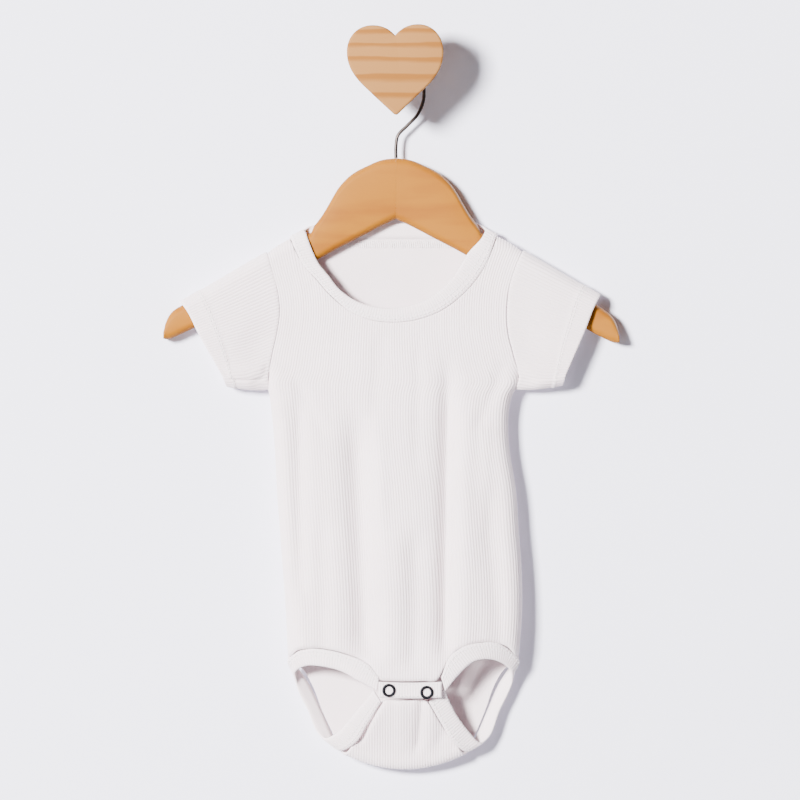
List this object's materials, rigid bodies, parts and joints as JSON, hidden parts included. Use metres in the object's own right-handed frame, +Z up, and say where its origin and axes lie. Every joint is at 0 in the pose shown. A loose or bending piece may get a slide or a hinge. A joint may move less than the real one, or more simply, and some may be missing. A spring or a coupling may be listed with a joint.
{
  "type": "baby bodysuit on hanger and heart wall peg",
  "caption": "Short-sleeved rib-knit baby bodysuit with bound neck and legs and a snapped crotch, hung on a wooden hanger from a heart-shaped wall peg",
  "frame": {"origin": "the middle of the flat back face of the peg's stem, where it meets the wall", "axes": "+X is to the right as seen from the front, +Y points back into the wall, +Z is up; the front of the garment faces -Y"},
  "size_m": [0.3195, 0.0513, 0.5215],
  "materials": {
    "rib_knit": "matt white cotton rib knit",
    "binding_knit": "matt white cotton rib binding",
    "snap_metal": "dark nickel-plated snap",
    "hanger_wood": "clear-lacquered light wood",
    "hook_steel": "polished steel wire",
    "peg_pine": "bare pine with flat grain"
  },
  "bodies": {
    "root": {"front_panel": "rib_knit", "back_panel": "rib_knit", "sleeve_left": "rib_knit", "sleeve_right": "rib_knit", "neck_binding": "binding_knit", "leg_binding_left": "binding_knit", "leg_binding_right": "binding_knit", "front_snap_band": "binding_knit", "back_snap_band": "binding_knit", "snap_ring_left": "snap_metal", "snap_lock_left": "snap_metal", "snap_base_left": "snap_metal", "snap_ring_right": "snap_metal", "snap_lock_right": "snap_metal", "snap_base_right": "snap_metal", "hanger_arm_left": "hanger_wood", "hanger_arm_right": "hanger_wood", "hanger_hook": "hook_steel", "peg_stem": "peg_pine", "peg_heart": "peg_pine"}
  },
  "joints": []
}
